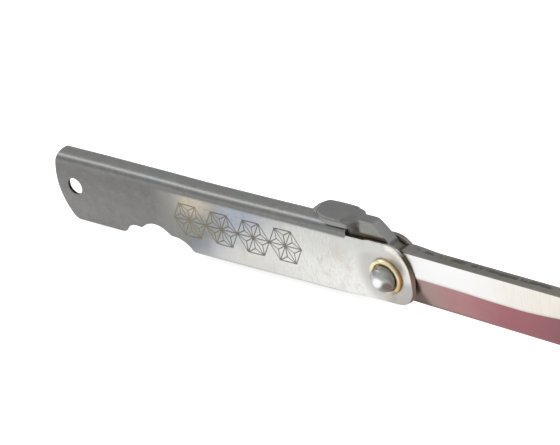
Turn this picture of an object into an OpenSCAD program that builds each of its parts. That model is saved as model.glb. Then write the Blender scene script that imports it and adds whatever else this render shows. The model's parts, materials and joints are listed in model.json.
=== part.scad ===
// Friction folding knife, shown open with its spine up.
// The handle is one steel sheet folded into a channel. The blade turns on a
// riveted pin and carries a lever that comes to rest on the handle's spine.
// Drawn from the butt along +X, from the handle's lower edge along +Z, then moved
// so that the origin is at the middle of the knife's footprint, at its lowest point.

/* [Handle] */
// Length of the folded handle
handle_l = 97.4; // [85:0.1:120]
// Height of the handle from its lower edge to its spine
handle_h = 16.2; // [15:0.1:20]
// Thickness of the folded sheet
sheet_t = 0.8; // [0.5:0.05:1.2]
// Outer radius of the two bends along the spine
bend_r = 2.1; // [1.5:0.05:2.2]
// Radius of the butt below the point where it stands out furthest
butt_r = 13; // [10:0.5:20]
// Radius of the butt above that point
butt_top_r = 17; // [12:0.5:30]
// Height of the point where the butt stands out furthest
butt_z = 9.6; // [7:0.1:11]
// How far the lower edge climbs from the finger notch to the butt
butt_rise = 1; // [0:0.1:2]
// Radius of the upper corner beside the pivot
nose_top_r = 6; // [3:0.1:6.5]
// Radius of the lower corner beside the pivot
nose_low_r = 5.5; // [3:0.1:6]

/* [Far Wall] */
// Steel left between the lanyard hole and the slanting cut at the far wall's butt
far_butt_rim = 1.35; // [0.8:0.05:2]
// Slant of that cut, in degrees
far_butt_lean = 27; // [22:1:35]
// Steel left between the washer and the slanting cut at the far wall's nose
far_nose_rim = 2.1; // [1.4:0.1:2.2]
// Slant of that cut, in degrees
far_nose_lean = 40; // [30:1:50]
// How far the far wall stands above the near wall, beside the lever
far_rise = 0.25; // [0:0.05:0.3]

/* [Lever Slot] */
// Length of spine that is cut away in front, for the lever
slot_l = 15.85; // [13:0.05:18]
// How far the cut goes down below the top of the spine
slot_drop = 2.05; // [1.5:0.05:3]

/* [Lanyard Hole] */
// Diameter of the hole through both walls
lanyard_d = 3.9; // [2:0.1:5]
// Distance of the hole from the butt
lanyard_x = 5; // [4:0.1:8]
// Height of the hole above the lower edge
lanyard_z = 8.7; // [6:0.1:10]

/* [Finger Notch] */
// Distance of the middle of the notch from the butt
notch_x = 26.9; // [22:0.1:40]
// Depth of the middle arch of the notch
notch_deep = 4.5; // [3:0.1:5]
// Radius of the middle arch
notch_arch_r = 5.6; // [4:0.1:8]
// Depth of the shoulder on the butt side
back_deep = 2.85; // [1:0.05:3]
// Radius of the shoulder on the butt side
back_r = 4; // [3:0.1:8]
// Distance from the middle of the notch to the top of the back shoulder
back_reach = 5.5; // [4:0.1:7]
// Depth of the shoulder on the pivot side
fore_deep = 2.55; // [1:0.05:3]
// Radius of the shoulder on the pivot side
fore_r = 6; // [3:0.1:8]
// Distance from the middle of the notch to the top of the fore shoulder
fore_reach = 5.2; // [4:0.1:7]

/* [Pivot] */
// Distance of the pivot behind the front end of the handle
pivot_back = 6.4; // [5:0.1:8]
// Height of the pivot above the lower edge
pivot_z = 6.8; // [6.5:0.1:7.5]
// Diameter of the pin
pin_d = 4; // [3:0.1:4.4]
// Radial clearance round the pin
pin_gap = 0.05; // [0.02:0.01:0.1]
// Diameter of the hammered heads
head_d = 5.7; // [5:0.1:5.8]
// Height of the hammered heads
head_h = 2.8; // [1.5:0.1:3.2]

/* [Washers] */
// Outer diameter of the cupped washers
washer_d = 8.5; // [8.2:0.1:9.4]
// Diameter of the cup that holds the rivet's head
cup_d = 6.1; // [5.9:0.1:6.6]
// Thickness of the washer under the rivet's head
washer_floor = 0.3; // [0.2:0.05:0.5]
// Height of the rounded rim above the wall of the handle
washer_rim_h = 0.8; // [0.6:0.05:1.2]

/* [Blade] */
// Length of blade in front of the handle
blade_l = 74; // [60:0.5:80]
// Thickness of the blade
blade_t = 3; // [2.5:0.1:3.2]
// Gap between each side of the blade and the handle
blade_gap = 0.15; // [0.1:0.01:0.3]
// Width of the blade at the front end of the handle
blade_w = 12.55; // [11:0.05:13]
// Height of the cutting edge above the handle's lower edge, at the front end of the handle
heel_z = 0.5; // [0.3:0.05:1]
// Fall of the blade's spine towards the point, in degrees
spine_fall = 1.4; // [0:0.1:2]
// Fall of the cutting edge towards the point, in degrees
edge_fall = 2; // [0:0.1:2.2]
// Width of the ground bevel
bevel_w = 6.7; // [4:0.1:8]
// Thickness left at the cutting edge
edge_t = 0.15; // [0.1:0.05:0.4]
// Length over which the spine comes down to the point
point_l = 23; // [15:0.5:30]

/* [Lever] */
// Radius of the blade's root round the pin
tang_r = 6.1; // [5:0.1:6.2]
// Distance from the cut in the spine forwards to the back of the lever's arm
arm_gap = 1; // [0.6:0.05:1.5]
// Height of the arm above the spine
arm_rise = 1.75; // [1:0.05:2]
// Length of the arm's level top
arm_top_l = 4.9; // [3:0.1:5]
// Length over which the arm comes down to the blade
arm_slope_l = 3.7; // [3:0.1:5]
// Step from the foot of the arm down to the blade's spine
arm_step = 1.1; // [0.5:0.1:2]
// Length of the thumb pad behind the cut in the spine
pad_l = 10.5; // [8:0.1:14]
// Width of the thumb pad
pad_w = 6.8; // [5.5:0.1:8]
// Height of the pad's side
pad_side = 0.7; // [0.5:0.05:1]
// Height of the pad's middle above its sides
pad_crown = 1.5; // [0.5:0.05:1.8]
// Gap between the pad and the spine
pad_gap = 0.1; // [0.05:0.05:0.3]
// Distance behind the cut in the spine at which the pad starts to narrow
neck_back = 1; // [0:0.1:3]
// Length over which the pad narrows to the arm
neck_l = 4; // [3:0.1:5]

/* [Hidden] */
$fn = 96;
// Overrun of every cutting shape
over = 1;
// Width of the channel and of the whole handle
channel_w = blade_t + 2 * blade_gap;
handle_t = channel_w + 2 * sheet_t;
// Place of the pivot, of the cut in the spine and of the knife's ends
pivot_x = handle_l - pivot_back;
slot_x = handle_l - slot_l;
slot_z = handle_h - slot_drop;
tip_x = handle_l + blade_l;
function edge_z(x) = heel_z - (x - handle_l) * tan(edge_fall);
function spine_z(x) = heel_z + blade_w - (x - handle_l) * tan(spine_fall);
lowest_z = min(0, edge_z(tip_x));
// Underside of the thumb pad, and the radius of its crown
pad_z = handle_h + pad_gap;
crown_r = (pow(pad_w / 2, 2) + pow(pad_crown, 2)) / (2 * pad_crown);
// Lever's arm, from its back edge to its foot
arm_x = slot_x + arm_gap;
arm_top_z = handle_h + arm_rise;
arm_end_x = arm_x + arm_gap + arm_top_l;
foot_x = arm_end_x + arm_slope_l;

// Moves what is drawn from the butt and the lower edge to the knife's own origin
module place() {
    translate([-tip_x / 2, 0, -lowest_z]) children();
}

// Turns a drawing of the side view into a slab of the given thickness, centred on Y
module slab(thick) {
    translate([0, thick / 2, 0]) rotate([90, 0, 0]) linear_extrude(thick) children();
}

// Cylinder along Y, centred on the plane of symmetry
module cross_pin(x, z, r, l) {
    translate([x, 0, z]) rotate([90, 0, 0]) cylinder(r = r, h = l, center = true);
}

// Waste outside a rounded corner that points towards +X and +Y
module corner_waste(r) {
    difference() {
        square(r + over);
        circle(r);
    }
}

// Section of a folded strip: an upright bar whose two top corners are round
module arch_section(width, height, r) {
    translate([-width / 2, -over]) square([width, height - r + over]);
    for (side = [-1, 1]) translate([side * (width / 2 - r), height - r]) circle(r);
    translate([r - width / 2, 0]) square([width - 2 * r, height]);
}

// Waste behind an upright arc that touches the origin and bulges towards -X, above the origin
module butt_waste(r) {
    difference() {
        translate([-over, 0]) square([r + over, r]);
        translate([r, 0]) circle(r, $fn = 240);
    }
}

// Waste beyond a straight cut that keeps clear of a round thing at x, z, in the direction of an angle
module slant_waste(x, z, clear, angle) {
    translate([x, z]) rotate(angle) translate([clear, -handle_h]) square(2 * handle_h);
}

// Side view of one wall: round butt, ogee notch and rounded nose, with its top cut down to a height
module wall_side(top_z) {
    difference() {
        square([handle_l, handle_h + over]);
        translate([0, butt_z]) butt_waste(butt_top_r);
        translate([0, butt_z]) mirror([0, 1]) butt_waste(butt_r);
        polygon([[-over, -over], [-over, butt_rise * (1 + over / notch_x)], [notch_x, 0], [notch_x, -over]]);
        translate([notch_x, notch_deep - notch_arch_r]) circle(notch_arch_r);
        translate([notch_x - back_reach, back_deep - back_r]) circle(back_r);
        translate([notch_x + fore_reach, fore_deep - fore_r]) circle(fore_r);
        translate([slot_x, top_z]) square([slot_l + over, handle_h]);
        translate([handle_l - nose_top_r, top_z - nose_top_r]) corner_waste(nose_top_r);
        translate([handle_l - nose_low_r, nose_low_r]) mirror([0, 1]) corner_waste(nose_low_r);
    }
}

// Side view of the far wall, which is cut off at a slant at both ends
module far_wall_side() {
    difference() {
        wall_side(slot_z + far_rise);
        intersection() {
            slant_waste(lanyard_x, lanyard_z, lanyard_d / 2 + far_butt_rim, 180 + far_butt_lean);
            translate([-over, -over]) square([handle_l, butt_z + far_butt_rim + over]);
        }
        slant_waste(pivot_x, pivot_z, washer_d / 2 + far_nose_rim, far_nose_lean);
    }
}

// One sheet of steel, folded along the spine, open below and in front
module handle() {
    color("slategray") place() difference() {
        intersection() {
            rotate([90, 0, 90]) linear_extrude(handle_l) difference() {
                arch_section(handle_t, handle_h, bend_r);
                translate([0, -over]) arch_section(channel_w, handle_h - sheet_t + over, bend_r - sheet_t);
            }
            union() {
                translate([0, -sheet_t / 2 - over / 2, 0]) slab(channel_w + sheet_t + over) wall_side(slot_z);
                translate([0, channel_w / 2 + sheet_t / 2 + over / 2, 0]) slab(sheet_t + over) far_wall_side();
            }
        }
        cross_pin(lanyard_x, lanyard_z, lanyard_d / 2, handle_t + 2 * over);
        cross_pin(pivot_x, pivot_z, pin_d / 2 + pin_gap, handle_t + 2 * over);
    }
}

// Side view of the blade, its round root and the lever's arm
module blade_side() {
    translate([pivot_x, pivot_z]) circle(tang_r);
    polygon([
        [pivot_x, edge_z(pivot_x)],
        [tip_x, edge_z(tip_x)],
        [tip_x - point_l, spine_z(tip_x - point_l)],
        [pivot_x, spine_z(pivot_x)]
    ]);
    polygon([
        [arm_x, pad_z],
        [arm_x + arm_gap, arm_top_z],
        [arm_end_x, arm_top_z],
        [foot_x, spine_z(foot_x) + arm_step],
        [foot_x, pivot_z],
        [pivot_x - tang_r, pivot_z]
    ]);
}

// Waste outside one ground face: it starts inside the handle and runs past the point
module bevel_waste() {
    lean = atan((blade_t - edge_t) / 2 / bevel_w);
    start = pivot_back - tang_r / 2;
    translate([handle_l, blade_t / 2, heel_z + bevel_w]) rotate([0, edge_fall, 0]) rotate([-lean, 0, 0])
        translate([-start, 0, -blade_w]) cube([start + blade_l + 2 * over, blade_t, blade_w]);
}

// Thumb pad: a tongue with a rounded end and a crowned top that narrows to the arm
module thumb_pad() {
    tip_r = pad_w / 2;
    translate([0, 0, pad_z]) intersection() {
        linear_extrude(pad_side + pad_crown) union() {
            translate([slot_x - pad_l + tip_r, 0]) circle(tip_r);
            translate([slot_x - pad_l + tip_r, -tip_r]) square([pad_l - tip_r - neck_back, pad_w]);
            polygon([
                [slot_x - neck_back, -tip_r],
                [slot_x - neck_back + neck_l, -blade_t / 2],
                [slot_x - neck_back + neck_l, blade_t / 2],
                [slot_x - neck_back, tip_r]
            ]);
        }
        translate([slot_x - pad_l - over, 0, pad_side + pad_crown - crown_r]) rotate([0, 90, 0])
            cylinder(r = crown_r, h = pad_l + neck_l + 4 * over);
    }
}

// Blade, root, lever and pad are forged in one piece
module blade() {
    color("gainsboro") place() difference() {
        union() {
            slab(blade_t) blade_side();
            thumb_pad();
        }
        bevel_waste();
        mirror([0, 1, 0]) bevel_waste();
        cross_pin(pivot_x, pivot_z, pin_d / 2 + pin_gap, blade_t + 2 * over);
    }
}

// Half section of a hammered head, standing on the washer's floor
module head_section() {
    polygon([
        [0, 0],
        [head_d / 2, 0],
        [head_d / 2, head_h * 0.35],
        [head_d * 0.42, head_h * 0.65],
        [head_d * 0.3, head_h * 0.88],
        [head_d * 0.16, head_h],
        [0, head_h]
    ]);
}

// Pin with a hammered head at each end
module rivet() {
    pin_l = handle_t + 2 * washer_floor;
    color("dimgray") place() {
        cross_pin(pivot_x, pivot_z, pin_d / 2, pin_l);
        for (turn = [90, -90]) translate([pivot_x, 0, pivot_z]) rotate([turn, 0, 0])
            translate([0, 0, pin_l / 2]) rotate_extrude() head_section();
    }
}

// Cupped washer against one wall of the handle, side -1 is the near wall
module washer(side) {
    rim_r = (washer_d - cup_d) / 4;
    color("goldenrod") place() translate([pivot_x, side * handle_t / 2, pivot_z])
        rotate([side * -90, 0, 0]) rotate_extrude() {
            translate([pin_d / 2 + pin_gap, 0]) square([(cup_d - pin_d) / 2 - pin_gap + rim_r, washer_floor]);
            intersection() {
                translate([(washer_d + cup_d) / 4, washer_rim_h - rim_r]) circle(rim_r);
                square([washer_d, washer_rim_h]);
            }
        }
}

module washer_near() washer(-1);
module washer_far() washer(1);

handle();
blade();
rivet();
washer_near();
washer_far();
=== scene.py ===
# %% [markdown]
# # A friction folding knife
# The knife has five pieces: a handle folded from one sheet of steel, a blade with its lever,
# a rivet and two brass washers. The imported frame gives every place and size. Each piece is
# drawn again here as a fine surface, and gets a finish that is worked out from its own
# coordinates. The scene ends with soft studio light and a long lens.

# %% Load the frame
import json
import math

import bpy
import numpy as np
from mathutils import Matrix, Vector


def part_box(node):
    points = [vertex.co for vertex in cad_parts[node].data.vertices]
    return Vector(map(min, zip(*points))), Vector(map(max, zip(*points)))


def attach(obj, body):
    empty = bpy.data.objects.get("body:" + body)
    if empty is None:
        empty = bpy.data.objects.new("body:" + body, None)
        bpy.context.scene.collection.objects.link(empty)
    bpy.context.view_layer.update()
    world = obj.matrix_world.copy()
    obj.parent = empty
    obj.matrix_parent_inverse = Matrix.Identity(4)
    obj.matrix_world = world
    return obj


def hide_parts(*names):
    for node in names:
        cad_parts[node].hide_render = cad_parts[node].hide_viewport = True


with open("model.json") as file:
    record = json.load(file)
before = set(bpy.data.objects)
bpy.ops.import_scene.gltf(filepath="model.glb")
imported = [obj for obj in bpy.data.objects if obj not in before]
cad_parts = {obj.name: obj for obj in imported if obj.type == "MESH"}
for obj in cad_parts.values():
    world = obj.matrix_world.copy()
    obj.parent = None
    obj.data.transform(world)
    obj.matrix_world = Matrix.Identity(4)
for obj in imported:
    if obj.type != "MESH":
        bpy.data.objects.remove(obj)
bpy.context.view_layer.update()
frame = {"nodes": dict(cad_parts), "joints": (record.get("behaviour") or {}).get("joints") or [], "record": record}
print("frame:", ", ".join(sorted(frame["nodes"])))

# %% [markdown]
# ## Sizes
# A maker thinks of this knife from the butt forwards and from the lower edge upwards, in
# millimetres. The frame's boxes say where that corner lies, and how long, high and thick the
# handle is. Only what a box can't say, such as the thickness of the sheet, is named here.

# %% Sizes in millimetres, from the butt and the lower edge
MM = 0.001
handle_low, handle_high = (np.array(corner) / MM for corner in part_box("handle"))
blade_low, blade_high = (np.array(corner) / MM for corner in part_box("blade"))
corner_mm = np.array([handle_low[0], 0.0, handle_low[2]])
handle_l, handle_t, handle_h = handle_high - handle_low
pivot_mm = np.array(frame["joints"][0]["pos_m"]) / MM - corner_mm
lanyard_mm = np.array(frame["record"]["mounts"][0]["pos_m"]) / MM - corner_mm
lanyard_r = frame["record"]["mounts"][0]["dims"]["r_mm"]
washer_low, washer_high = (np.array(corner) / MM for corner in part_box("washer_near"))
washer_r = (washer_high[0] - washer_low[0]) / 2
tip_x = blade_high[0] - corner_mm[0]
sheet_t = 0.8
bend_r = 2.1
side_play = 0.15
blade_half = (handle_t - 2 * sheet_t) / 2 - side_play
hair, far_away = 0.02, 9.0
print(f"handle {handle_l:.1f} x {handle_t:.1f} x {handle_h:.1f} mm, point at {tip_x:.1f} mm")


# %% [markdown]
# ## Surfaces as arrays
# A surface here is an array of points on a grid. numpy works out all of them at once, which
# is quicker and easier to change than moving points by hand. Small helpers number the points,
# join them with faces, and make a Blender object of them. A closed shell whose volume comes
# out negative is inside out, so its faces are turned round.

# %% Grid helpers
def spread(start, stop, step):
    """Even stops between two places, no further apart than step."""
    return np.linspace(start, stop, max(2, int(math.ceil(abs(stop - start) / step)) + 1))


def runs(stops, steps):
    """Stops of several runs in a row: between two neighbours they are spread with that run's step."""
    parts = [spread(a, b, step)[:-1] for a, b, step in zip(stops, stops[1:], steps)]
    return np.concatenate([*parts, stops[-1:]])


def numbered(grid, start=0):
    """Vertex numbers for a grid of points, in the grid's own shape and counted from start."""
    rows, columns = grid.shape[:2]
    return start + np.arange(rows * columns).reshape(rows, columns)


def closed(rings):
    """Rows of vertex numbers, each with its first number once more at its end."""
    return np.hstack([rings, rings[:, :1]])


def grid_quads(index):
    """Faces between neighbouring entries of a two-way array of vertex numbers."""
    a, b, c, d = index[:-1, :-1], index[:-1, 1:], index[1:, 1:], index[1:, :-1]
    return np.stack([a, b, c, d], axis=-1).reshape(-1, 4)


def shell_volume(points, quads):
    """Signed volume of a closed shell: the sum of the cones from the origin to each half face."""
    a, b, c, d = (points[quads[:, k]] for k in range(4))
    return (np.cross(a, b) * c + np.cross(a, c) * d).sum() / 6


def put(name, data):
    """An object in the scene that carries a mesh, a lamp or a camera."""
    thing = bpy.data.objects.new(name, data)
    bpy.context.scene.collection.objects.link(thing)
    return thing


def make_piece(name, points_mm, quads, marks, sharp_deg):
    """A closed shell from points in millimetres, moved to the knife's own origin, in metres.

    Marks are values that the mesh carries at its points, by name.
    """
    used, quads = np.unique(quads, return_inverse=True)
    quads = quads.reshape(-1, 4)
    points = (points_mm[used] + corner_mm) * MM
    if shell_volume(points, quads) < 0:
        quads = quads[:, ::-1]
    mesh = bpy.data.meshes.new(name)
    mesh.vertices.add(len(points))
    mesh.vertices.foreach_set("co", points.astype(np.float32).ravel())
    mesh.loops.add(quads.size)
    mesh.loops.foreach_set("vertex_index", quads.astype(np.int32).ravel())
    mesh.polygons.add(len(quads))
    mesh.polygons.foreach_set("loop_start", np.arange(0, quads.size, 4, dtype=np.int32))
    mesh.update(calc_edges=True)
    mesh.validate()
    mesh.shade_smooth()
    mesh.set_sharp_from_angle(angle=math.radians(sharp_deg))
    for mark, values in marks.items():
        attribute = mesh.attributes.new(mark, "FLOAT", "POINT")
        attribute.data.foreach_set("value", values[used].astype(np.float32))
    print(f"{name}: {len(points)} points, {len(quads)} faces")
    return put(name, mesh)


def fan(ring, centre):
    """Closes a ring of an even number of points: four-sided faces round a middle point."""
    a, b, c = ring[0::2], ring[1::2], np.roll(ring, -2)[0::2]
    return np.stack([np.full(len(a), centre), a, b, c], axis=-1)


def capped_tube(skin, first, last):
    """Points and faces of a row of rings that a middle point closes at either end."""
    number = numbered(skin)
    points = np.vstack([skin.reshape(-1, 3), first, last])
    faces = np.vstack([
        grid_quads(closed(number)),
        fan(number[0], number.size),
        fan(number[-1], number.size + 1)[:, ::-1],
    ])
    return points, faces


def ease(t):
    """Smooth step from 0 to 1, level at both ends."""
    t = np.clip(t, 0.0, 1.0)
    return t * t * (3 - 2 * t)


# %% [markdown]
# ## The handle
# The real handle starts as a flat blank. Two plates and a bar would show seams where its sheet
# bends, so it is drawn as a blank here too: along x, and along q, which is the height on the
# near wall, then the way over the spine, then the height on the far wall counted downwards. A
# function folds that blank round the two bends. A rim with rounded edges joins the outer and
# the inner face all the way round, and at the holes. The nose is filed to a bevel: its outer
# edge stands back, and the near wall's inner edge swells out a little.

# %% Outline of the blank
notch_x = 26.9
notch_arcs = [(21.3, 2.75, 4.2, 0.3), (32.1, 2.55, 6.0, 0.12), (notch_x, 4.35, 5.6, 0.35)]
butt_r, butt_top_r, butt_z, butt_rise = 13.0, 17.0, 9.6, 0.47
slot_x, slot_z, far_rise = handle_l - 15.85, handle_h - 2.05, 0.4
nose_top_r, nose_low_r, butt_corner_r = 6.0, 4.2, 0.8
fore_rise, rise_from, rise_to = 0.48, 72.0, 95.0
far_butt_clear, far_butt_lean = lanyard_r + 1.35, math.radians(27)
far_nose_clear, far_nose_lean = washer_r + 3.27, math.radians(52)
nose_bevel, nose_lip = 0.44, (0.2, 0.35, 7.2, 1.8)
corner_blend = 0.5


def round_top(x, middle, top, radius):
    """Height of a circle that reaches up to top at x = middle, and far below elsewhere."""
    circle = np.sqrt(np.maximum(radius**2 - (x - middle) ** 2, 0.0))
    return top - radius + circle - far_away * (abs(x - middle) > radius)


def soft_max(a, b, blend):
    """The greater of two heights, with the corner between them rounded over blend."""
    return (a + b + np.sqrt((a - b) ** 2 + blend**2)) / 2


def low_edge(x):
    """Lower edge: a level rear run, a fore run that rises a little to the nose, and the notch's three arcs.

    Each arc is given by its middle, its top, its radius, and how softly it joins the rest.
    """
    z = np.where(x < notch_x, butt_rise, fore_rise * ease((x - rise_from) / (rise_to - rise_from)))
    for middle, top, radius, blend in notch_arcs:
        z = soft_max(z, round_top(x, middle, top, radius), blend)
    return z


def corner_cut(height, radius):
    """How far a rounded corner stands back, at a height above the straight edge it runs into."""
    gap = np.clip(radius - height, 0.0, radius)
    return radius - np.sqrt(radius**2 - gap**2)


def butt_edge(z, low, far):
    """The butt: one arc up to its furthest point, a wider one above, and a slanting cut on the far wall."""
    radius = np.where(z > butt_z, butt_top_r, butt_r)
    arc = radius - np.sqrt(radius**2 - (z - butt_z) ** 2) + corner_cut(z - low, butt_corner_r)
    reach = far_butt_clear + (z - lanyard_mm[2]) * math.sin(far_butt_lean)
    slant = lanyard_mm[0] - reach / math.cos(far_butt_lean)
    return np.where(far, soft_max(arc, slant, corner_blend), arc)


def nose_swell(z):
    """How far the near wall's inner edge stands out at the nose: a little everywhere, more in the middle."""
    least, more, middle, width = nose_lip
    return least + more * np.exp(-(((z - middle) / width) ** 2))


def nose_edge(z, low, top, far):
    """The nose: straight between rounded corners, swollen on the near wall, slanting on the far one."""
    arc = handle_l - hair - corner_cut(z - low, nose_low_r) - corner_cut(top - z, nose_top_r)
    reach = far_nose_clear - (z - pivot_mm[2]) * math.sin(far_nose_lean)
    slant = pivot_mm[0] + reach / math.cos(far_nose_lean)
    return np.where(far, -soft_max(-arc, -slant, corner_blend), arc + nose_swell(z))


print("notch at", notch_x, "mm, slot from", round(slot_x, 2), "mm")

# %% Fold the blank
wall_h = handle_h - bend_r
bend_l = math.pi * bend_r / 2
top_flat = handle_t - 2 * bend_r
blank_w = 2 * (wall_h + bend_l) + top_flat
sag_x, sag_w, sag_z = 48.0, 17.0, 0.24
bevel_back, bevel_run = 4.0, 3.6


def fold(x, q, depth):
    """Point of the folded sheet: up the wall, a quarter turn, the flat, the same mirrored, and a slight sag.

    Near the nose the outer face stands back from the inner one, which bevels the edge.
    """
    near = np.minimum(q, blank_w - q)
    turn = np.clip((near - wall_h) / bend_r, 0.0, math.pi / 2)
    r = bend_r - depth
    y = bend_r - handle_t / 2 - r * np.cos(turn) + np.clip(near - wall_h - bend_l, 0.0, None)
    z = np.minimum(near, wall_h) + r * np.sin(turn) - sag_z * np.exp(-(((x - sag_x) / sag_w) ** 2))
    outer = np.clip(1 - depth / sheet_t, 0.0, 1.0)
    bevel = nose_bevel + np.where(q < blank_w / 2, nose_swell(q), 0.0)
    x = x - bevel * outer * ease((x - handle_l + bevel_back) / bevel_run)
    return np.stack([x, np.where(q > blank_w / 2, -y, y), z], axis=-1)


print(f"blank {handle_l:.1f} x {blank_w:.1f} mm before it is folded")

# %% [markdown]
# ### The chiselled band
# Makers decorate this wall with a chisel. Here it is a row of hemp-leaf rosettes, an old
# geometric figure: a hexagon of equal triangles, each with three lines from its middle to its
# corners. In such a triangle the distance to the nearest side is the least of three heights,
# and the distance to the nearest inner line is the gap between the two least heights,
# divided by the root of three.

# %% Hemp-leaf rosettes
leaf_side = 4.4
rosettes = 4
band_start, band_z = 33.2, 7.7
cut_w, cut_depth = 0.30, 0.12
almost_one = 0.999999


def rosette_gap(x, z):
    """Distance to the nearest line of the rosettes, in millimetres, and far away outside them."""
    cell = 2 * leaf_side
    number = np.clip(np.floor((x - band_start) / cell), 0, rosettes - 1)
    u, v = x - band_start - (number + 0.5) * cell, z - band_z
    height = leaf_side * math.sqrt(3) / 2
    axes = [(0.0, 1.0), (math.sqrt(3) / 2, 0.5), (math.sqrt(3) / 2, -0.5)]
    along = np.stack([u * a + v * b for a, b in axes])
    inside = abs(along).max(axis=0) <= height + cut_w / 2
    to_lines = abs(along - height * np.round(along / height))
    least, middle = np.sort(np.mod(along_heights(u, v, height), height), axis=0)[:2]
    gap = np.minimum(to_lines.min(axis=0), (middle - least) / math.sqrt(3))
    return np.where(inside, gap, far_away)


def along_heights(u, v, height):
    """The three heights of a point in its own triangle, which add up to the triangle's height."""
    a, b = v / height, (u * math.sqrt(3) / 2 - v / 2) / height
    fa, fb = a - np.floor(a), b - np.floor(b)
    flip = fa + fb > 1
    fa, fb = np.where(flip, 1 - fa, fa), np.where(flip, 1 - fb, fb)
    return np.stack([fa, fb, 1 - fa - fb]) * height * almost_one


def groove(x, q):
    """Depth of the chisel's cuts: a rounded furrow along each line, on the near wall alone."""
    gap = rosette_gap(x, q)
    return np.where(q < blank_w / 2, np.clip(1 - (gap / (cut_w / 2)) ** 2, 0.0, 1.0), 0.0)


print(rosettes, "rosettes with sides of", leaf_side, "mm")

# %% Grid of the blank
edge_round, rim_steps = 0.12, 4
butt_run, butt_slide, band_margin = 14, 3.0, 0.4
rim_dip, rim_rise, rise_at, rise_run = 0.12, 0.36, 6.5, 3.0
band_end = band_start + 2 * leaf_side * rosettes
body_stops = [0.0, butt_run, band_start - band_margin, band_end + band_margin, slot_x - edge_round]
body_cols = runs(body_stops, [0.35, 0.4, 0.175, 0.7])
nose_cols = spread(slot_x - edge_round, handle_l, 0.4)[1:]
cols = np.concatenate([body_cols, nose_cols])
col_slot = len(body_cols) - 1

# The rows lie closer near both ends of the wall, and closest at the edge of the slot.
wall_t = spread(0.0, 1.0, 0.013)[:-1]
wall_t = np.concatenate([0.85 * wall_t + 0.15 * ease(wall_t), [0.9935, 0.9975, 0.9993, 1.0]])
far_t = (1 - np.cos(math.pi * spread(0.0, 1.0, 0.045))) / 2
near_top, far_top = slot_z - edge_round, slot_z + far_rise - edge_round
top_q = spread(near_top, blank_w - far_top, 0.4)[1:-1]
row_slot = len(wall_t) - 1
row_back = row_slot + len(top_q) + 1

butt_share = np.clip(1 - cols / butt_run, 0, 1)
nose_share = np.clip((cols - cols[col_slot]) / (handle_l - cols[col_slot]), 0, 1)
low = low_edge(cols + butt_slide * butt_share) + edge_round
near_line = near_top - rim_dip * ease(cols - slot_x) + rim_rise * ease((cols - slot_x - rise_at) / rise_run)
near_rows = low + wall_t[:, None] * (near_line - low)
far_rows = blank_w - (low + far_t[::-1, None] * (far_top - low))
blank_q = np.vstack([near_rows, np.repeat(top_q[:, None], len(cols), axis=1), far_rows])
far = blank_q > blank_w / 2
height = np.minimum(blank_q, blank_w - blank_q)
side_z = fold(0 * height, blank_q, 0.0)[..., 2]
butt_pull = butt_edge(side_z, low, far) + edge_round
nose_pull = handle_l - nose_edge(height, low, np.where(far, far_top, near_line), far) + edge_round
blank_x = cols + butt_pull * butt_share - nose_pull * nose_share
print("blank:", blank_x.shape, "points, unfolded width", round(blank_w, 2), "mm")

# %% [markdown]
# ### Holes and rims
# A boolean cut would leave long thin faces that catch the light. So a block of the grid is
# taken out where the lanyard hole goes, and rings of points run from the block's outline to
# the circle. The rim of each opening is a small profile carried along its edge: a quarter
# round, the thickness of the sheet, and a quarter round again.

# %% Lanyard hole in both walls
number = numbered(blank_x)
flat_x, flat_q = blank_x.ravel(), blank_q.ravel()
keep = np.ones((blank_x.shape[0] - 1, blank_x.shape[1] - 1), bool)
keep[row_slot:row_back, col_slot:] = False
quads_2d, loops = [], []
rings, hole_col, margin = 7, 12, lanyard_r + 0.75


def block_path(rows_at, cols_at):
    """Vertex numbers round a block of the grid, once round against the clock."""
    r0, r1 = rows_at
    c0, c1 = cols_at
    return np.concatenate([
        number[r0, c0:c1], number[r0:r1, c1], number[r1, c1:c0:-1], number[r1:r0:-1, c0],
    ])


for centre_q in (lanyard_mm[2], blank_w - lanyard_mm[2]):
    rows_in = np.where(abs(blank_q[:, hole_col] - centre_q) < margin)[0]
    cols_in = np.where(abs(blank_x[rows_in[len(rows_in) // 2]] - lanyard_mm[0]) < margin)[0]
    rows_at, cols_at = (rows_in[0], rows_in[-1]), (cols_in[0], cols_in[-1])
    keep[rows_at[0]:rows_at[1], cols_at[0]:cols_at[1]] = False
    path = block_path(rows_at, cols_at)
    away = np.stack([flat_x[path] - lanyard_mm[0], flat_q[path] - centre_q])
    on_circle = away / np.hypot(*away) * (lanyard_r + edge_round)
    share = np.linspace(0, 1, rings + 1)[1:, None]
    ring_x = lanyard_mm[0] + away[0] * (1 - share) + on_circle[0] * share
    ring_q = centre_q + away[1] * (1 - share) + on_circle[1] * share
    ring_number = numbered(ring_x, len(flat_x))
    flat_x = np.concatenate([flat_x, ring_x.ravel()])
    flat_q = np.concatenate([flat_q, ring_q.ravel()])
    levels = np.vstack([path, ring_number])
    quads_2d.append(grid_quads(closed(levels).T)[:, ::-1])
    loops.append(ring_number[-1][::-1])

quads_2d.append(grid_quads(number)[keep.ravel()])
last_row, last_col = number.shape[0] - 1, number.shape[1] - 1
loops.append(np.concatenate([
    number[0, :last_col],
    number[:row_slot, last_col],
    number[row_slot, last_col:col_slot:-1],
    number[row_slot:row_back, col_slot],
    number[row_back, col_slot:last_col],
    number[row_back:last_row, last_col],
    number[last_row, last_col:0:-1],
    number[last_row:0:-1, 0],
]))
quads_2d = np.concatenate(quads_2d)
print("blank faces:", len(quads_2d), "rims:", [len(loop) for loop in loops])


# %% Fold both faces and carry the rims
wave_h, ripple_h = 0.02, 0.012


def hand_wave(x, q):
    """Slow unevenness of a sheet folded by hand: waves along and across it, and a slanting ripple."""
    return wave_h * np.sin(x / 7.3 + 0.4) * np.sin(q / 5.1 + 1.0) + ripple_h * np.sin(x / 3.1 + q / 2.7)


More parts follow.
